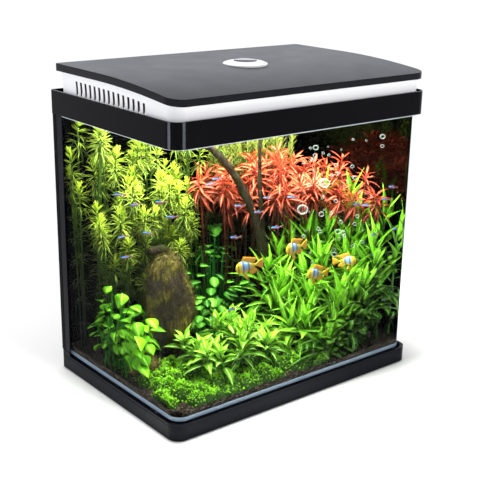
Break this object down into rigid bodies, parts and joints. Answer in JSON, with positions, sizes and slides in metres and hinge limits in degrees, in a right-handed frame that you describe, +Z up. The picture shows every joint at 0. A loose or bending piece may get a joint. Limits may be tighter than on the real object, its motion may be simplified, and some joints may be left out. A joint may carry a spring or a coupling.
{
  "type": "aquarium",
  "caption": "Bent-glass planted aquarium with a low base frame, vented lift-off hood, hinged lamp cover with a light button, and an internal filter.",
  "frame": {"origin": "middle of the footprint, on the surface that the feet stand on", "axes": "+X to the right along the front glass, +Y from the front glass to the back, +Z up"},
  "size_m": [0.4, 0.27, 0.4201],
  "materials": {
    "black_plastic": "moulded black plastic, satin gloss",
    "cover_plastic": "fine-grained satin black",
    "white_plastic": "moulded white plastic, satin gloss",
    "button_gloss": "smoky high gloss",
    "glass": "clear float glass, polished edges",
    "silicone": "clear silicone, pale",
    "background": "matt black sheet",
    "foot_rubber": "matt black rubber",
    "steel": "plain stainless steel",
    "lamp_board": "white solder mask on aluminium",
    "lamp_lens": "frosted acrylic",
    "substrate": "dark granular aquarium soil",
    "stone": "rough dark stone with moss",
    "driftwood": "waterlogged dark wood",
    "plant_green": "live green leaves",
    "plant_red": "live red leaves",
    "filter_sponge": "open-cell dark foam",
    "ceramic": "ground white ceramic"
  },
  "bodies": {
    "tank": {"background_sheet": "background", "base_frame": "black_plastic", "bent_glass": "glass", "bottom_glass": "glass", "bottom_seal": "silicone", "driftwood": "driftwood", "filter_case": "black_plastic", "filter_sponge": "filter_sponge", "foot_back_left": "foot_rubber", "foot_back_right": "foot_rubber", "foot_front_left": "foot_rubber", "foot_front_right": "foot_rubber", "impeller_cover": "black_plastic", "plant_broad_left": "plant_green", "plant_bush_centre": "plant_green", "plant_carpet_front": "plant_green", "plant_grass_rear": "plant_green", "plant_long_leaf_right": "plant_green", "plant_red_right": "plant_red", "plant_round_rear": "plant_green", "plant_stems_rear_left": "plant_green", "pump_body": "black_plastic", "pump_shaft": "ceramic", "rear_glass": "glass", "rear_post_left": "black_plastic", "rear_post_right": "black_plastic", "rear_seal_left": "silicone", "rear_seal_right": "silicone", "riser_pipe": "black_plastic", "rock_large": "stone", "rock_small": "stone", "substrate": "substrate", "suction_cup_left": "foot_rubber", "suction_cup_right": "foot_rubber", "top_rim": "black_plastic"},
    "hood": {"hood_frame": "white_plastic", "hinge_pin_left": "steel", "hinge_pin_right": "steel"},
    "cover": {"cover_plate": "cover_plastic", "cover_liner": "white_plastic", "lamp_lens": "lamp_lens", "lamp_board": "lamp_board", "button_bezel": "white_plastic", "button_spring": "steel", "switch_body": "black_plastic", "cable_gland": "foot_rubber"},
    "button": {"light_button": "button_gloss"},
    "impeller": {"impeller": "black_plastic"},
    "nozzle": {"outlet_nozzle": "black_plastic"}
  },
  "joints": [
    {"name": "hood_lift", "type": "slide", "parent": "tank", "child": "hood", "axis": [0, 0, 1], "range_m": [0, 0.12]},
    {"name": "cover_hinge", "type": "hinge", "parent": "hood", "child": "cover", "pos_m": [0, 0.1225, 0.401], "axis": [-1, 0, 0], "range_deg": [0, 100]},
    {"name": "button_press", "type": "slide", "parent": "cover", "child": "button", "axis": [0, 0, -1], "range_m": [0, 0.0015], "stiffness_N_per_m": 600, "springref_m": -0.001},
    {"name": "impeller_spin", "type": "hinge", "parent": "tank", "child": "impeller", "pos_m": [0.051, 0.10305, 0.14], "axis": [0, 0, 1], "continuous": true},
    {"name": "nozzle_swivel", "type": "hinge", "parent": "tank", "child": "nozzle", "pos_m": [0.073, 0.10305, 0.32], "axis": [0, 0, 1], "range_deg": [-70, 70]}
  ]
}
